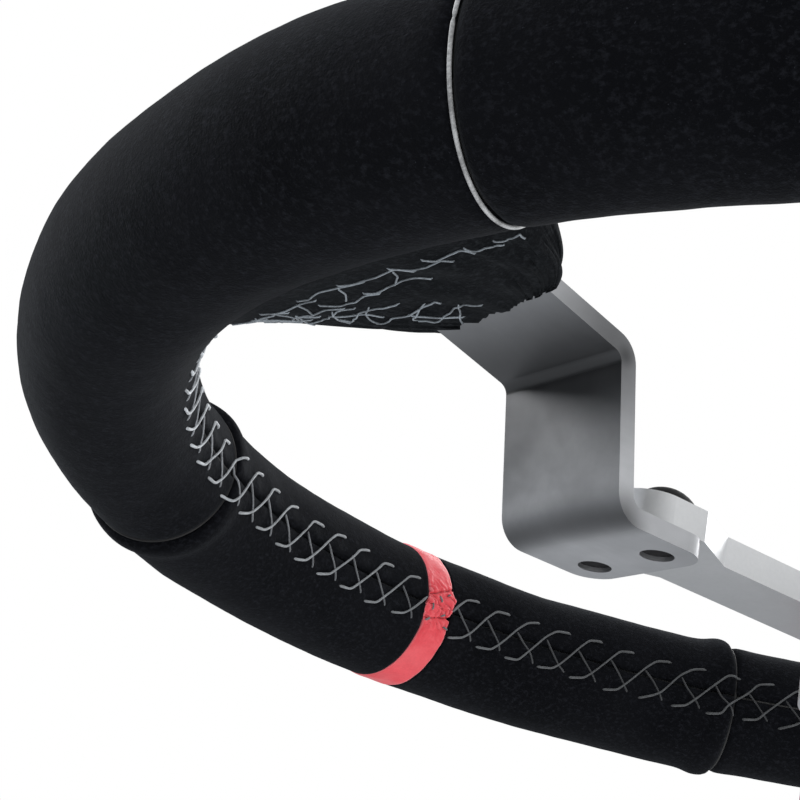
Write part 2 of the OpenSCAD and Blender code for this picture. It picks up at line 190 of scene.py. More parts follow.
def shell(name, outer, inner, ring=False):
    """A closed sheet between two grids of points. With ring, its second way closes on itself."""
    rows, cols = outer.shape[:2]
    n = rows * cols
    verts = np.concatenate([outer.reshape(-1, 3), inner.reshape(-1, 3)])
    idx = np.arange(n).reshape(rows, cols)
    if ring:
        idx = np.concatenate([idx, idx[:, :1]], axis=1)
    quads = np.stack([idx[:-1, :-1], idx[1:, :-1], idx[1:, 1:], idx[:-1, 1:]], -1).reshape(-1, 4)
    faces = [quads, quads[:, ::-1] + n]
    if ring:
        borders = [idx[0, ::-1], idx[-1]]
    else:
        loop = [idx[:, 0], idx[-1, 1:], idx[-2::-1, -1], idx[0, -2::-1]]
        borders = [np.concatenate(loop)]
    for border in borders:
        a, b = border[:-1], border[1:]
        faces.append(np.stack([a, a + n, b + n, b], -1))
    faces = np.concatenate(faces)
    return new_mesh(name, verts.tolist(), faces.tolist())


def tube(paths, name, r, sides=6, swell=0.0):
    """Round threads along lists of points, with domed ends, as one mesh. swell is how much
    thicker they are near their ends than in the middle."""
    verts, faces = [], []
    for path in paths:
        pts = np.asarray(path, float)
        along = np.gradient(pts, axis=0)
        along /= np.linalg.norm(along, axis=1)[:, None] + 1e-12
        side = np.cross(along[0], [0.3, 0.5, 0.81])
        side /= np.linalg.norm(side)
        rings = []
        for k, (p, t) in enumerate(zip(pts, along)):
            side = side - t * side.dot(t)
            side /= np.linalg.norm(side)
            up = np.cross(t, side)
            from_middle = abs(2 * k / (len(pts) - 1) - 1)
            rr = r * (0.55 if k in (0, len(pts) - 1) else 1 + swell * (from_middle - 0.5))
            a = np.arange(sides) * TAU / sides
            rings.append(p + rr * (np.cos(a)[:, None] * side + np.sin(a)[:, None] * up))
        base = len(verts)
        for ring in rings:
            verts.extend(ring.tolist())
        for k in range(len(pts) - 1):
            for j in range(sides):
                a, b = base + k * sides + j, base + k * sides + (j + 1) % sides
                faces.append((a, b, b + sides, a + sides))
        dome = r * 0.4
        tips = (
            (pts[0] - along[0] * dome, base, 1),
            (pts[-1] + along[-1] * dome, base + (len(pts) - 1) * sides, -1),
        )
        for tip, start, way in tips:
            verts.append(tip.tolist())
            top = len(verts) - 1
            for j in range(sides):
                a, b = start + j, start + (j + 1) % sides
                faces.append((b, a, top) if way > 0 else (a, b, top))
    return new_mesh(name, verts, faces, recalc=False)


def eased_path(places, steps=6):
    """Evenly spaced points along straight legs, with their corners softened."""
    pts = []
    for k in range(len(places) - 1):
        for t in np.linspace(0, 1, steps + 1)[(0 if k == 0 else 1):]:
            pts.append(places[k] * (1 - t) + places[k + 1] * t)
    pts = np.array(pts)
    for _ in range(2):
        pts[1:-1] = (pts[:-2] + 2 * pts[1:-1] + pts[2:]) / 4
    return pts


def finish_piece(piece, material, slot, *nodes):
    piece.data.materials.append(material)
    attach(piece, WHEEL)
    if nodes:
        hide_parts(*nodes)
    return piece


# ------------------------------------------------------------------ materials

class Nodes:
    """A short way to build one material's node tree."""

    def __init__(self, name):
        self.mat = bpy.data.materials.new(name)
        self.mat.use_nodes = True
        self.tree = self.mat.node_tree
        self.shader = self.tree.nodes["Principled BSDF"]
        self.coords = self.add("ShaderNodeTexCoord").outputs["Object"]

    def add(self, kind, **settings):
        node = self.tree.nodes.new(kind)
        for key, value in settings.items():
            setattr(node, key, value)
        return node

    def link(self, a, b):
        self.tree.links.new(a, b)

    def set(self, **values):
        for key, value in values.items():
            self.shader.inputs[key.replace("_", " ")].default_value = value

    def noise(self, scale, detail=4.0, rough=0.6, stretch=None, seed=0.0):
        node = self.add("ShaderNodeTexNoise", noise_dimensions="4D")
        node.inputs["Scale"].default_value = scale
        node.inputs["Detail"].default_value = detail
        node.inputs["Roughness"].default_value = rough
        node.inputs["W"].default_value = seed
        source = self.coords
        if stretch:
            mapping = self.add("ShaderNodeMapping")
            mapping.inputs["Scale"].default_value = stretch
            self.link(self.coords, mapping.inputs["Vector"])
            source = mapping.outputs[0]
        self.link(source, node.inputs["Vector"])
        return node.outputs["Fac"]

    def ramp(self, fac, *stops):
        node = self.add("ShaderNodeValToRGB")
        elements = node.color_ramp.elements
        while len(elements) < len(stops):
            elements.new(0.5)
        for element, (at, colour) in zip(elements, stops):
            element.position = at
            element.color = (*colour, 1) if len(colour) == 3 else colour
        self.link(fac, node.inputs["Fac"])
        return node.outputs["Color"]

    def grey_ramp(self, fac, *stops):
        return self.ramp(fac, *[(at, (v, v, v)) for at, v in stops])

    def mix(self, fac, a, b, blend="MIX"):
        node = self.add("ShaderNodeMix", data_type="RGBA", blend_type=blend)
        for socket, value in ((node.inputs[0], fac), (node.inputs[6], a), (node.inputs[7], b)):
            if isinstance(value, bpy.types.NodeSocket):
                self.link(value, socket)
            elif isinstance(value, (int, float)):
                socket.default_value = value
            else:
                socket.default_value = (*value, 1)
        return node.outputs[2]

    def bump(self, height, strength, distance, below=None):
        node = self.add("ShaderNodeBump")
        node.inputs["Strength"].default_value = strength
        node.inputs["Distance"].default_value = distance
        self.link(height, node.inputs["Height"])
        if below is not None:
            self.link(below, node.inputs["Normal"])
        return node.outputs["Normal"]

    def colour(self, socket):
        self.link(socket, self.shader.inputs["Base Color"])

    def rough(self, socket):
        self.link(socket, self.shader.inputs["Roughness"])

    def normal(self, socket):
        self.link(socket, self.shader.inputs["Normal"])


def suede(name, dark, light, seed):
    """Short napped suede: speckled fibre tips over brushed light and dark patches."""
    m = Nodes(name)
    patches = m.noise(45, 3, 0.55, seed=seed)
    nap = m.noise(900, 3, 0.7, stretch=(1.0, 1.5, 1.0), seed=seed + 1)
    tips = m.noise(2600, 2, 0.7, seed=seed + 2)
    ground = m.ramp(patches, (0.35, dark), (0.7, light))
    speckled = m.mix(m.grey_ramp(nap, (0.50, 0.0), (0.72, 1.0)), ground, tuple(2.3 * v for v in light))
    flecks = m.grey_ramp(tips, (0.66, 0.0), (0.76, 0.85))
    flecked = m.mix(flecks, speckled, tuple(5.5 * v for v in light))
    m.colour(flecked)
    m.set(Roughness=1.0, Specular_IOR_Level=0.03, Sheen_Weight=0.045, Sheen_Roughness=0.4)
    m.shader.inputs["Sheen Tint"].default_value = (0.72, 0.78, 0.85, 1)
    broad = m.bump(nap, 0.5, 0.0003)
    m.normal(m.bump(tips, 0.7, 0.0002, broad))
    return m.mat


def red_leather():
    """Thin dyed leather, paler where it is rubbed, with painted shade darkening its creases."""
    m = Nodes("red_leather")
    tone = m.noise(120, 4, 0.6, seed=3)
    grain = m.noise(1500, 3, 0.6, seed=4)
    base = m.ramp(tone, (0.3, (0.66, 0.045, 0.062)), (0.7, (0.78, 0.075, 0.095)))
    base = m.mix(m.grey_ramp(grain, (0.35, 0.25), (0.6, 0.0)), base, (0.5, 0.022, 0.035))
    hollow = m.add("ShaderNodeNewGeometry").outputs["Pointiness"]
    # painted shade: the creases (low pointiness) are darkened
    base = m.mix(m.grey_ramp(hollow, (0.40, 0.85), (0.485, 0.0)), base, (0.12, 0.012, 0.018))
    m.colour(m.mix(m.grey_ramp(hollow, (0.52, 0.0), (0.60, 0.5)), base, (0.95, 0.30, 0.33)))
    m.set(Roughness=0.5, Specular_IOR_Level=0.35, Sheen_Weight=0.2, Sheen_Roughness=0.4)
    m.normal(m.bump(grain, 0.25, 0.0002))
    return m.mat


# How bright a thread is painted, from the wheel's left side to its right: painted shade that deepens
# towards the right
PAINTED_FALLOFF = ((0.0, 1.0), (0.21, 0.56), (0.5, 0.30), (0.62, 0.16), (0.75, 0.09), (1.0, 0.05))


def thread(name, colour, painted_falloff=True):
    """Waxed thread with twisted strands, darkened by painted shade towards the wheel's right side unless
    that is turned off.
    """
    m = Nodes(name)
    strands = m.noise(3200, 2, 0.6, stretch=(1.0, 1.0, 0.4), seed=6)
    patchy = m.noise(260, 2, 0.6, seed=7)
    if painted_falloff:
        # painted shade: the thread's tone falls off across the wheel from left to right
        split = m.add("ShaderNodeSeparateXYZ")
        m.link(m.coords, split.inputs[0])
        falloff_range = m.add("ShaderNodeMapRange")
        falloff_range.inputs["From Min"].default_value = -0.13
        falloff_range.inputs["From Max"].default_value = 0.10
        m.link(split.outputs["X"], falloff_range.inputs["Value"])
        stops = [(at, tuple(v * share for v in colour)) for at, share in PAINTED_FALLOFF]
        base = m.ramp(falloff_range.outputs["Result"], *stops)
    else:
        base = m.ramp(patchy, (0.3, tuple(v * 0.8 for v in colour)), (0.7, colour))
    m.colour(m.mix(m.grey_ramp(m.mix(0.5, strands, patchy), (0.40, 0.6), (0.58, 0.0)), base,
                   tuple(0.15 * v for v in colour)))
    m.set(Roughness=0.6, Specular_IOR_Level=0.3, Sheen_Weight=0.08, Sheen_Roughness=0.5)
    m.normal(m.bump(strands, 0.6, 0.00012))
    return m.mat


def metal(name, colour, low, high, stretch=(1, 1, 1), scale=900.0, bump=0.06, smudge=0.25, bend_shade=False):
    """Satin metal: brushing or turning marks, with faint smudges in its gloss and colour.
    Where asked, painted dark reflections darken the bar along its two bends and over the arm beside the
    knee."""
    m = Nodes(name)
    marks = m.noise(scale, 3, 0.6, stretch=stretch, seed=8)
    stains = m.noise(38, 4, 0.6, seed=9)
    fine = m.noise(420, 3, 0.6, seed=10)
    darker = tuple(v * (1 - smudge) for v in colour)
    base = m.ramp(stains, (0.38, darker), (0.62, colour))
    base = m.mix(m.grey_ramp(marks, (0.3, 0.22), (0.7, 0.0)), base, tuple(v * 0.75 for v in colour))
    if bend_shade:
        split = m.add("ShaderNodeSeparateXYZ")
        m.link(m.coords, split.inputs[0])
        flat = m.add("ShaderNodeCombineXYZ")
        m.link(split.outputs["X"], flat.inputs["X"])
        m.link(split.outputs["Z"], flat.inputs["Y"])
        reach = m.add("ShaderNodeVectorMath", operation="LENGTH")
        m.link(flat.outputs[0], reach.inputs[0])
        profile = m.add("ShaderNodeCombineXYZ")
        m.link(reach.outputs["Value"], profile.inputs["X"])
        m.link(split.outputs["Y"], profile.inputs["Y"])
        # painted dark reflections along the knee and heel bends, and broadly on the arm near the knee
        for (radius, behind), spread, depth in BEND_SHADE:
            near = m.add("ShaderNodeVectorMath", operation="DISTANCE")
            m.link(profile.outputs[0], near.inputs[0])
            near.inputs[1].default_value = (radius, PLANE_Y + behind, 0)
            shade_mask = m.add("ShaderNodeMapRange", interpolation_type="SMOOTHSTEP")
            shade_mask.inputs["From Min"].default_value = spread
            shade_mask.inputs["From Max"].default_value = 0.0
            shade_mask.inputs["To Max"].default_value = depth
            m.link(near.outputs["Value"], shade_mask.inputs["Value"])
            base = m.mix(shade_mask.outputs["Result"], base, tuple(v * 0.12 for v in colour))
    m.colour(base)
    m.rough(m.ramp(m.mix(0.5, stains, fine), (0.3, (low,) * 3), (0.7, (high,) * 3)))
    m.set(Metallic=1.0)
    m.normal(m.bump(marks, bump, 0.00008))
    return m.mat


def coated(name, colour, roughness):
    m = Nodes(name)
    wear = m.noise(260, 4, 0.6, seed=14)
    m.colour(m.ramp(wear, (0.4, colour), (0.75, tuple(min(1, v * 1.8 + 0.01) for v in colour))))
    m.rough(m.ramp(wear, (0.3, (roughness,) * 3), (0.7, (roughness + 0.15,) * 3)))
    m.set(Specular_IOR_Level=0.12)
    m.normal(m.bump(m.noise(1400, 2, 0.5, seed=15), 0.12, 0.0001))
    return m.mat


def foam_stuff():
    m = Nodes("foam")
    cells = m.add("ShaderNodeTexVoronoi")
    cells.inputs["Scale"].default_value = 1500
    m.link(m.coords, cells.inputs["Vector"])
    m.colour(m.ramp(cells.outputs["Distance"], (0.1, (0.02, 0.02, 0.02)), (0.7, (0.05, 0.05, 0.05))))
    m.set(Roughness=0.95)
    m.normal(m.bump(cells.outputs["Distance"], 0.5, 0.0003))
    return m.mat


SUEDE = suede("suede_black", (0.0030, 0.0033, 0.0043), (0.0050, 0.0054, 0.0068), 1.0)
COVER_SUEDE = suede("suede_cover", (0.0036, 0.0042, 0.0052), (0.0075, 0.0084, 0.0096), 5.0)
RED = red_leather()
PALE = thread("thread_pale", (0.66, 0.70, 0.74))
# the pale thread again, made darker: painted shade on the sunken return threads
PALE_SHADED = thread("thread_pale_shaded", (0.32, 0.34, 0.37))
LACE = thread("thread_lace", (0.32, 0.36, 0.40), painted_falloff=False)
CORD_GREY = thread("cord_grey", (0.50, 0.51, 0.52), painted_falloff=False)
CORD_BLACK = thread("cord_black", (0.005, 0.005, 0.006), painted_falloff=False)
SPOKE_GREY = (0.56, 0.57, 0.59)
SPOKE_METAL = metal("spoke_steel", SPOKE_GREY, 0.34, 0.46, stretch=(0.15, 1, 1), bend_shade=True)
SPOKE_METAL_UP = metal("spoke_steel_upright", SPOKE_GREY, 0.34, 0.46, stretch=(1, 1, 0.15), bend_shade=True)
TUBE_METAL = metal("tube_steel", (0.30, 0.30, 0.31), 0.4, 0.6)
ALLOY = metal("machined_alloy", (0.69, 0.70, 0.71), 0.3, 0.44, scale=1500, smudge=0.08)
RED_ALLOY = metal("red_anodised", (0.50, 0.03, 0.045), 0.25, 0.38, scale=1500, smudge=0.15)
ADAPTER = metal("adapter_steel", (0.36, 0.37, 0.38), 0.34, 0.5, scale=1200, smudge=0.15)
BALL = metal("ball_steel", (0.85, 0.86, 0.87), 0.08, 0.14, bump=0.02, smudge=0.05)
SPRING = metal("spring_steel", (0.45, 0.45, 0.47), 0.3, 0.45)
BLACK_OXIDE = coated("black_oxide", (0.006, 0.006, 0.007), 0.6)
FOAM = foam_stuff()

NODE_MATERIALS = {
    "column_flange": ADAPTER, "splined_shaft": ADAPTER, "qr_body": ALLOY, "release_collar": RED_ALLOY,
    "collar_spring": SPRING, "collar_clip": SPRING, "hub_plate": ALLOY,
    "hub_screws": BLACK_OXIDE, "spoke_screws": BLACK_OXIDE,
    "spoke_left": SPOKE_METAL, "spoke_right": SPOKE_METAL, "spoke_bottom": SPOKE_METAL_UP,
    "spoke_welds": TUBE_METAL, "rim_core": TUBE_METAL, "rim_foam": FOAM,
    **{f"lock_ball_{i}": BALL for i in range(1, 5)},
}

# How wide the broken edges are, in mm
EASED = {
    "spoke_left": 0.7, "spoke_right": 0.7, "spoke_bottom": 0.7, "hub_plate": 0.35, "qr_body": 0.3,
    "release_collar": 0.3, "column_flange": 0.5, "splined_shaft": 0.2,
    "hub_screws": 0.15, "spoke_screws": 0.15,
}


def ease_edges(node, width):
    """Breaks a machined part's sharp edges, so that they catch the light."""
    merge = node.modifiers.new("merge", "DECIMATE")
    merge.decimate_type = "DISSOLVE"
    merge.angle_limit = math.radians(0.5)
    bevel = node.modifiers.new("ease", "BEVEL")
    bevel.width = width * MM
    bevel.segments = 3
    bevel.limit_method = "ANGLE"
    bevel.angle_limit = math.radians(40)
    bevel.harden_normals = True


def dress_nodes():
    for name, material in NODE_MATERIALS.items():
        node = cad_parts[name]
        node.data.materials.clear()
        node.data.materials.append(material)
        if name in EASED:
            ease_edges(node, EASED[name])


# ------------------------------------------------------------------ wrap panels

def wrap_panel(name, start, end, node):
    """One sewn panel, rolled round the foam with its long edges meeting on the hub side.
    start and end are clock angles, or functions of the section."""
    slit = 0.22 * MM / TUBE_R
    u = np.linspace(0, 1, 124)
    section = math.pi + slit + (TAU - 2 * slit) * (u - 0.085 * np.sin(TAU * u))
    first = start(section) if callable(start) else np.full_like(section, start)
    last = end(section) if callable(end) else np.full_like(section, end)
    way = math.copysign(1, last[0] - first[0])
    gap = 0.3 * MM / RING_R * way
    rows = int(abs(last[0] - first[0]) * RING_R / (0.8 * MM))
    t = np.linspace(0, 1, rows)[:, None]
    c = (first + gap) * (1 - t) + (last - gap) * t
    s = np.broadcast_to(section, c.shape)
    outer = rim_point(c, s, skin_radius(c, s))
    inner = rim_point(c, s, SKIN_INSIDE)
    piece = shell(name, outer, inner)
    return finish_piece(piece, SUEDE, "suede", node)


# Where the stripe's stitches lie: degrees along the rim, and round its section from the seam
STRIPE_KNOTS = ((1.25, -13.0), (1.0, -2.0), (0.1, 6.0), (-0.5, -6.0), (-0.95, 12.0), (-1.2, -15.0))


def centre_stripe():
    """The red band. Its ends overlap and crumple where they are sewn, on the hub side."""
    clock = np.linspace(-STRIPE_HALF, STRIPE_HALF, 30)
    u = np.linspace(0, 1, 301)[:-1]
    section = math.pi + TAU * (u - 0.11 * np.sin(TAU * u))
    c, s = np.meshgrid(clock, section, indexing="ij")
    across = c / STRIPE_HALF
    seam = np.mod(s, TAU) - math.pi
    crumple = np.exp(-(np.abs(seam) / 0.40) ** 2.5)
    folds = waves(21, 2.6 * MM, 12)
    soft = waves(22, 6 * MM, 10)
    x, y = RING_R * c, TUBE_R * s
    proud = 0.16 * MM * (1 - np.abs(across) ** 6)
    ridges = np.abs(folds(x, y)) - 0.55
    r = TUBE_R + SKIN_OFFSET["top"] + proud + 0.08 * MM * soft(x, y)
    r = r + crumple * (0.30 * MM + 0.42 * MM * ridges)
    # creases pulled in by the stitches, and the cut edge of the upper end
    for at, slope in ((-0.23, 0.10), (-0.02, -0.14), (0.17, 0.06)):
        r = r - 0.55 * MM * np.exp(-((seam - at - slope * across) * TUBE_R / (0.33 * MM)) ** 2)
    wander = (0.5 * MM * np.sin(seam * 8) + 0.35 * MM * soft(y, x)) * crumple / RING_R
    outer = rim_point(c + wander, s, r)
    inner = rim_point(c, s, SKIN_INSIDE)
    piece = shell("stripe_band", outer, inner, ring=True)
    finish_piece(piece, RED, "red_leather", "centre_stripe")
    rng = np.random.default_rng(44)
    knots = []
    for turn, at in STRIPE_KNOTS:
        c0 = math.radians(turn)
        s0 = math.pi - math.radians(at)
        ends = np.radians(rng.uniform((-0.3, -3.2), (0.3, 3.2)))
        t = np.linspace(-1, 1, 7)
        lift = 0.62 * MM * (1 - t ** 4) - 0.1 * MM
        knots.append(rim_point(c0 + ends[0] * t, s0 + ends[1] * t, TUBE_R + 0.45 * MM + lift))
    piece = tube(knots, "stripe_stitches", 0.22 * MM)
    finish_piece(piece, PALE, "thread_pale")


# ------------------------------------------------------------------ stitching

# One stitch, as turns along the rim and round its section in degrees: a short hook
# along the lower edge, a stroke across the seam and a hook along the upper edge
STITCH = np.radians([(-2.35, -20.3), (-0.78, -17.2), (0, -11), (1.79, 5.8), (2.94, 15.4), (4.63, 17.7)])
RETURN = np.radians([(1.75, 6.5), (2.75, -3), (3.74, -12), (4.3, -18)])
FIRST_UNIT = math.radians(3.36)


def thread_path(turns, clock, lift, dive, rng):
    """A thread laid over the wrap through a stitch's turns, its ends sunk in their holes."""
    turns = turns + rng.normal(0, np.radians((0.09, 0.8)), turns.shape)
    pts = eased_path(turns)
    c = clock - pts[:, 0]
    s = math.pi - pts[:, 1]
    rise = np.full(len(c), lift)
    rise[[0, -1]] -= dive
    rise[[1, -2]] -= 0.35 * dive
    return rim_point(c, s, body_radius(c, s) + rise), c


def clear_of_stripe(path, clocks):
    """The stretches of a path that don't run under the centre stripe."""
    out, run = [], []
    for p, clock in zip(path, clocks):
        if abs(clock) > STRIPE_HALF + 0.2 * MM / RING_R:
            run.append(p)
        else:
            out.append(run)
            run = []
    out.append(run)
    return [r for r in out if len(r) >= 4]


def stitch_run(name, low, high, node, seed):
    """The closing seam between two clock angles: bright stitches over sunken return threads, which are
    darkened with painted shade.
    """
    rng = np.random.default_rng(seed)
    front, back = [], []
    first = math.ceil((low - FIRST_UNIT) / UNIT_PITCH)
    last = math.ceil((high - FIRST_UNIT) / UNIT_PITCH)
    for k in range(first, last):
        clock = FIRST_UNIT + (k + rng.normal(0, 0.03)) * UNIT_PITCH
        front += clear_of_stripe(*thread_path(STITCH, clock, 0.2 * MM, 0.5 * MM, rng))
        back += clear_of_stripe(*thread_path(RETURN, clock, 0.04 * MM, 0.3 * MM, rng))
    piece = tube(front, name, 0.28 * MM, swell=0.3)
    finish_piece(piece, PALE, "thread_pale", node)
    under = tube(back, name + "_returns", 0.24 * MM)
    finish_piece(under, PALE_SHADED, "thread_pale")


def joint_cord(name, sign, joint, radius, lift, material, slot, node):
    """A cord laid round the grip in the groove between two panels."""
    section = np.linspace(0, TAU, 160)
    clock = joint(section) if callable(joint) else np.full_like(section, joint)
    path = rim_point(sign * clock, section, TUBE_R + lift)
    piece = tube([path], name, radius, sides=8)
    return finish_piece(piece, material, slot, node)


# ------------------------------------------------------------------ spoke covers

# How far a cover spreads along the rim, on its side of the larger clock angle first
COVER_WIDE = 42 * MM
COVER_NARROW = 36 * MM
COVER_REACH = {
    "left": (COVER_NARROW, COVER_WIDE),
    "right": (COVER_WIDE, COVER_NARROW),
    "bottom": (COVER_NARROW, COVER_NARROW),
}
ROOT_HALF_T = 12.5 * MM       # half its height where it meets the rim
ROOT_SINK = 1.0 * MM
COVER_TIP = 116 * MM          # the radius of its cut edge
LINING_TIP = 117.5 * MM
TONGUE_TURN = 0.3             # where the cut edge hangs lowest, and how wide that is
FLARE = 2.0


def arm_height(radius):
    """How far behind the rim's plane the bar's middle lies, on its slope to the rim."""
    return KNEE[1] - (radius - KNEE[0]) * ARM_SLOPE - SPOKE_T / 2


def spoke_place(clock, radius, across, behind):
    """A point from a spoke's own measures: its radius, its distance across the spoke
    (anticlockwise), and its distance behind the rim's plane."""
    out = np.array([-math.sin(clock), 0, math.cos(clock)])
    side = np.array([-math.cos(clock), 0, -math.sin(clock)])
    back = np.array([0, 1, 0])
    base = np.array([0, PLANE_Y, 0])
    radius, across, behind = (np.asarray(v, float)[..., None] for v in (radius, across, behind))
    return base + radius * out + across * side + behind * back


def superellipse(a, power=2.5):
    ca, sa = np.cos(a), np.sin(a)
    return np.sign(ca) * np.abs(ca) ** (2 / power), np.sign(sa) * np.abs(sa) ** (2 / power)


def unit(v):
    return v / (np.linalg.norm(v, axis=-1, keepdims=True) + 1e-12)


class Cover:
    """A web of suede that spreads from a spoke's root along the rim. A place on it is
    t, from the rim at 0 to its cut edge at 1, and an angle a round the spoke, with 0
    towards a larger clock angle and a quarter turn towards the column."""

    def __init__(self, side, tip=COVER_TIP, seed=1, clearance=1.2 * MM, tongue=0.0):
        self.clock = SPOKE_CLOCK[side]
        self.reach = COVER_REACH[side]
        self.tongue = tongue
        self.tongue_at = TONGUE_TURN if side == "right" else math.pi - TONGUE_TURN
        self.frays = waves(seed + 90, 1.3 * MM, 12)
        self.tip, self.rag, self.clearance = tip, 0.45 * MM, clearance
        self.ragged = waves(seed, 6 * MM, 12)
        self.creases = waves(seed + 50, 9 * MM, 12)

    def grid(self, t, a):
        ce, se = superellipse(a)
        ca, sa = np.abs(np.cos(a)), np.abs(np.sin(a))
        reach = np.where(ce > 0, self.reach[0], self.reach[1])
        w = reach * ce
        h = ROOT_HALF_T * se
        inside = RING_R - TUBE_R
        clock = self.clock + w / inside
        lean = np.arcsin(np.clip(h / TUBE_R, -0.95, 0.95))
        p0 = rim_point(clock, math.pi + lean, TUBE_R - ROOT_SINK)
        zero = np.zeros_like(clock)
        out = np.stack([-np.sin(clock), zero, np.cos(clock)], -1)
        round_rim = np.stack([-np.cos(clock), zero, -np.sin(clock)], -1)
        back = np.array([0.0, 1.0, 0.0])
        to_spoke = -np.sign(w)[..., None] * round_rim
        to_hub = -(np.abs(np.sin(lean))[..., None] * out)
        to_hub = to_hub - np.sign(h)[..., None] * np.cos(lean)[..., None] * back
        to_hub = unit(to_hub * 0.55 - out * 0.45)
        d0 = unit(ca[..., None] ** 1.5 * (to_spoke - 0.55 * out) + sa[..., None] ** 1.5 * to_hub)
        frayed = self.frays(a * 14 * MM, 0 * a)
        edge = self.rag * (self.ragged(a * 14 * MM, 0 * a) + 0.55 * frayed)
        radius = self.tip + edge - self.tongue * np.exp(-((a - self.tongue_at) / TONGUE_TURN) ** 2)
        p3 = spoke_place(self.clock, radius, (SPOKE_HALF_W + self.clearance) * ce,
                         arm_height(radius) + (SPOKE_T / 2 + self.clearance) * se)
        axis_out = np.array([-math.sin(self.clock), 0, math.cos(self.clock)])
        axis_side = np.array([-math.cos(self.clock), 0, -math.sin(self.clock)])
        wide = reach / COVER_WIDE
        d3 = unit(axis_out - ARM_SLOPE * back + FLARE * (wide * np.cos(a))[..., None] * axis_side
                  + 0.5 * np.sin(a)[..., None] * back)
        span = np.linalg.norm(p3 - p0, axis=-1, keepdims=True)
        p1 = p0 + 0.36 * span * d0
        p2 = p3 + (0.30 + 0.12 * ca[..., None]) * span * d3
        t = t[..., None]
        return (1 - t) ** 3 * p0 + 3 * (1 - t) ** 2 * t * p1 + 3 * (1 - t) * t ** 2 * p2 + t ** 3 * p3

    def surface(self, t, a, lift=0.0):
        """Points on the cover's outside, and which way it faces there."""
        e = 1e-3
        p = self.grid(t, a)
        dt = self.grid(np.minimum(t + e, 1), a) - self.grid(np.maximum(t - e, 0), a)
        da = self.grid(t, a + e) - self.grid(t, a - e)
        n = unit(np.cross(da, dt))
        t_along = t * 30 * MM
        folds = self.creases(a * 20 * MM, t_along * 0.8)
        swell = (0.45 * MM + 0.3 * MM * folds) * np.sin(math.pi * np.clip(t, 0, 1) ** 1.3)
        return p + n * (swell + lift)[..., None], n


def cover_skin(name, cover, node, t_from=0.0, thickness=1.05 * MM):
    t = np.linspace(t_from, 1, 56)[:, None]
    a = np.linspace(0, TAU, 281)[:-1][None, :]
    t, a = np.broadcast_arrays(t, a)
    outer, n = cover.surface(t, a)
    inner = outer - n * thickness
    piece = shell(name, outer, inner, ring=True)
    return finish_piece(piece, COVER_SUEDE, "suede", *([node] if node else []))


def cover_threads(name, cover, wide_sign, seed):
    """Hand lacing over a cover: one band along its root and one along its free side."""
    rng = np.random.default_rng(seed)
    paths = []

    def ang(x):
        return x * math.pi if wide_sign < 0 else math.pi - x * math.pi

    def lay(lift, *places):
        """A thread through places on the cover: t, and 0 on its narrow side to 1 on its wide one."""
        pts = eased_path(np.array([(t, ang(x)) for t, x in places]))
        rise = np.full(len(pts), lift)
        rise[[0, -1]] = -0.25 * MM
        p, _ = cover.surface(np.clip(pts[:, 0], 0.01, 0.99), pts[:, 1], rise)
        paths.append(p)

    def hooked(t, x0, x1):
        j = rng.normal(0, 0.016, 6)
        lay(0.13 * MM, (t + 0.07 + j[4], x0 - 0.016), (t + j[0], x0), (t + j[1], (x0 + x1) / 2),
            (t + j[2], x1), (t - 0.06 + j[5], x1 + 0.014 + j[3] / 2))

    # along the root, on the column side: one row, and a second one on the wide half
    for k in range(9):
        x = 0.17 + 0.068 * k + rng.normal(0, 0.006)
        t = 0.36 - 0.42 * (x - 0.17)
        hooked(t, x, x + 0.060)
        if k > 3:
            hooked(t + 0.14, x + 0.01, x + 0.064)
            lay(0.1 * MM, (t + 0.01, x + 0.01), (t + 0.08, x + 0.02), (t + 0.14, x + 0.045))
    # down the wide side to the cut edge
    for k in range(6):
        t = 0.10 + 0.13 * k + rng.normal(0, 0.01)
        j = rng.normal(0, 0.012, 8)
        mid = 0.74 - 0.045 * k
        lay(0.14 * MM, (t, mid + 0.07 + j[0]), (t + 0.05, mid + 0.03 + j[1]),
            (t + 0.02, mid - 0.05 + j[2]), (t + 0.07, mid - 0.08 + j[3]))
        lay(0.10 * MM, (t, mid - 0.05 + j[4]), (t + 0.10, mid + 0.01 + j[5]), (t + 0.19, mid + 0.05 + j[6]))
        if k % 2 == 0:
            lay(0.10 * MM, (t + 0.02, mid - 0.01), (t + 0.16, mid - 0.035 + j[7]), (t + 0.27, mid - 0.05))
    piece = tube(paths, name, 0.16 * MM)
    return finish_piece(piece, LACE, "thread_pale")


def spoke_cover(side, seed):
    cover = Cover(side, seed=seed)
    cover_skin("cover_" + side, cover, "spoke_cover_" + side)
    lining = Cover(side, tip=LINING_TIP, seed=seed + 7, clearance=0.55 * MM, tongue=4.2 * MM)
    cover_skin("cover_lining_" + side, lining, None, 0.6, 0.45 * MM)
    wide_sign = 1 if side == "right" else -1
    cover_threads("cover_threads_" + side, cover, wide_sign, seed + 5)


# ------------------------------------------------------------------ assembly

def build_wrap():
    for side, sign in (("left", 1), ("right", -1)):
        def joint(section, sign=sign):
            return sign * grip_end(section)

        start = sign * GRIP_START
        wrap_panel("panel_top_" + side, sign * STRIPE_HALF, start, "wrap_top_" + side)
        wrap_panel("panel_grip_" + side, start, joint, "wrap_grip_" + side)
        wrap_panel("panel_lower_" + side, joint, sign * math.pi, "wrap_lower_" + side)
        joint_cord("cord_end_" + side, sign, grip_end, 0.3 * MM, -0.05 * MM, CORD_GREY,
                   "thread_pale", "seam_cord_" + side)
        joint_cord("cord_start_" + side, sign, GRIP_START, 0.4 * MM, -0.85 * MM, CORD_BLACK,
                   "thread_dark", "grip_cord_" + side)
    centre_stripe()


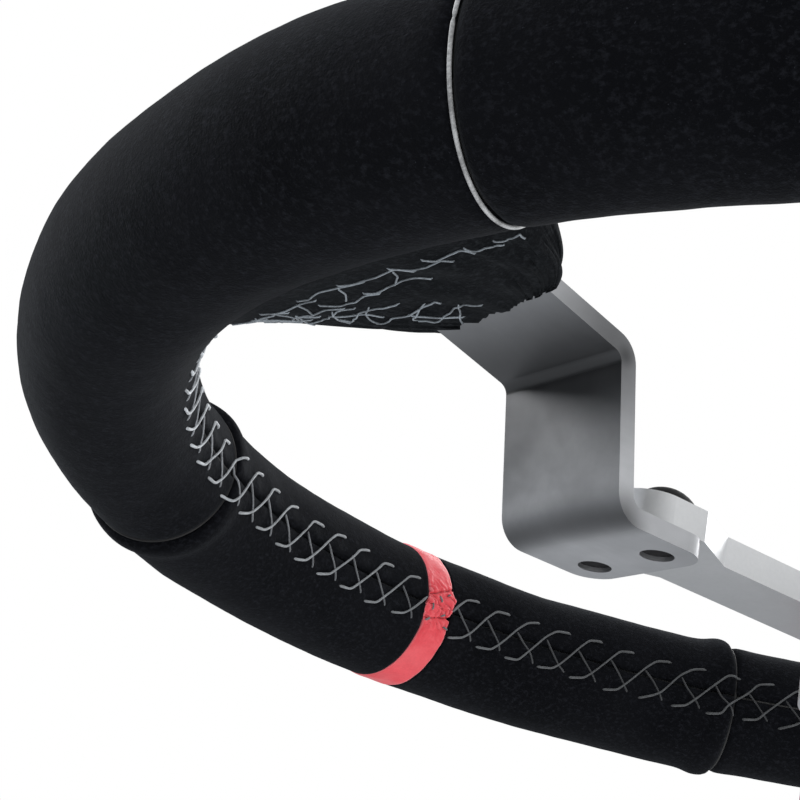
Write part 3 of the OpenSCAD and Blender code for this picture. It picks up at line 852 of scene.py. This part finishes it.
def build_stitches():
    top = GRIP_START
    under_cover = math.radians(15)
    stop = SPOKE_CLOCK["left"] - under_cover
    low_from = GRIP_END + math.radians(2.5)
    low_to = math.pi - under_cover
    stitch_run("stitches_top_left", 0, top, "stitch_top_left", 31)
    stitch_run("stitches_top_right", -top, 0, "stitch_top_right", 32)
    stitch_run("stitches_grip_left", top, stop, "stitch_grip_left", 33)
    stitch_run("stitches_grip_right", -stop, -top, "stitch_grip_right", 34)
    stitch_run("stitches_lower_left", low_from, low_to, "stitch_lower_left", 35)
    stitch_run("stitches_lower_right", -low_to, -low_from, "stitch_lower_right", 36)


def build_covers():
    for k, side in enumerate(("left", "right", "bottom")):
        spoke_cover(side, 70 + k)


# ------------------------------------------------------------------ studio

FLOOR_BELOW = 0.14               # from the rim's core to the floor


def add_camera():
    """The view is from behind and below the wheel's left spoke, on the column side."""
    offset = Vector((-287.9, 125.1, -196.5)) * MM
    right = Vector((0.7345, -0.1734, -0.6561))
    forward = Vector((0.5758, -0.3523, 0.7378)).normalized()
    up = right.cross(forward).normalized()
    right = forward.cross(up).normalized()
    data = bpy.data.cameras.new("camera")
    data.lens = 87.1
    data.sensor_width = 36
    data.shift_x = 0.0099
    data.shift_y = 0.0370
    data.clip_start = 0.01
    data.clip_end = 20
    camera = bpy.data.objects.new("camera", data)
    turn = Matrix((right, up, -forward)).transposed().to_4x4()
    camera.matrix_world = Matrix.Translation(Vector((0, PLANE_Y, 0)) + offset) @ turn
    bpy.context.scene.collection.objects.link(camera)
    bpy.context.scene.camera = camera


def add_light(name, place, target, size, power):
    data = bpy.data.lights.new(name, "AREA")
    data.size = size
    data.energy = power
    light = bpy.data.objects.new(name, data)
    light.location = place
    light.rotation_mode = "QUATERNION"
    light.rotation_quaternion = (Vector(target) - Vector(place)).to_track_quat("-Z", "Y")
    bpy.context.scene.collection.objects.link(light)


def add_floor(level):
    """A wide pale floor, well below the wheel, which its column holds up. It fades into
    the backdrop with distance."""
    count, reach = 48, 6.0
    turns = [TAU * k / count for k in range(count)]
    verts = [(0, 0, level)] + [(reach * math.cos(a), reach * math.sin(a), level) for a in turns]
    faces = [(0, 1 + k, 1 + (k + 1) % count) for k in range(count)]
    floor = new_mesh("floor", verts, faces, recalc=False)
    m = Nodes("floor_pale")
    tone = m.noise(3, 2, 0.5)
    m.colour(m.ramp(tone, (0.3, (0.34, 0.34, 0.34)), (0.7, (0.37, 0.37, 0.37))))
    m.set(Roughness=0.9, Specular_IOR_Level=0.1)
    away = m.add("ShaderNodeVectorMath", operation="LENGTH")
    m.link(m.coords, away.inputs[0])
    fade = m.add("ShaderNodeMapRange", interpolation_type="SMOOTHSTEP")
    for socket, value in (("From Min", 0.25), ("From Max", 2.2), ("To Min", 0.56), ("To Max", 1.0)):
        fade.inputs[socket].default_value = value
    m.link(away.outputs["Value"], fade.inputs["Value"])
    m.link(fade.outputs["Result"], m.shader.inputs["Emission Strength"])
    m.shader.inputs["Emission Color"].default_value = (1, 1, 1, 1)
    floor.data.materials.append(m.mat)


def add_studio():
    scene = bpy.context.scene
    scene.view_settings.view_transform = "Standard"
    scene.view_settings.look = "None"
    world = bpy.data.worlds.new("studio")
    world.use_nodes = True
    tree = world.node_tree
    room = tree.nodes["Background"]
    room.inputs["Color"].default_value = (0.93, 0.96, 1, 1)
    room.inputs["Strength"].default_value = 0.46
    backdrop = tree.nodes.new("ShaderNodeBackground")
    backdrop.inputs["Color"].default_value = (1, 1, 1, 1)
    backdrop.inputs["Strength"].default_value = 1.0
    seen = tree.nodes.new("ShaderNodeLightPath")
    choose = tree.nodes.new("ShaderNodeMixShader")
    tree.links.new(seen.outputs["Is Camera Ray"], choose.inputs[0])
    tree.links.new(room.outputs[0], choose.inputs[1])
    tree.links.new(backdrop.outputs[0], choose.inputs[2])
    tree.links.new(choose.outputs[0], tree.nodes["World Output"].inputs[0])
    scene.world = world
    centre = (0, PLANE_Y, 0)
    add_light("key", (-0.75, -0.75, 1.15), centre, 0.9, 26)
    add_light("fill", (1.2, -0.7, 0.5), centre, 1.0, 14)
    add_light("low", (0.5, 0.9, -0.2), (-0.15, PLANE_Y, 0), 0.7, 6)
    add_floor(CORE_LOW.z - FLOOR_BELOW)


dress_nodes()
build_wrap()
build_stitches()
build_covers()
add_studio()
add_camera()
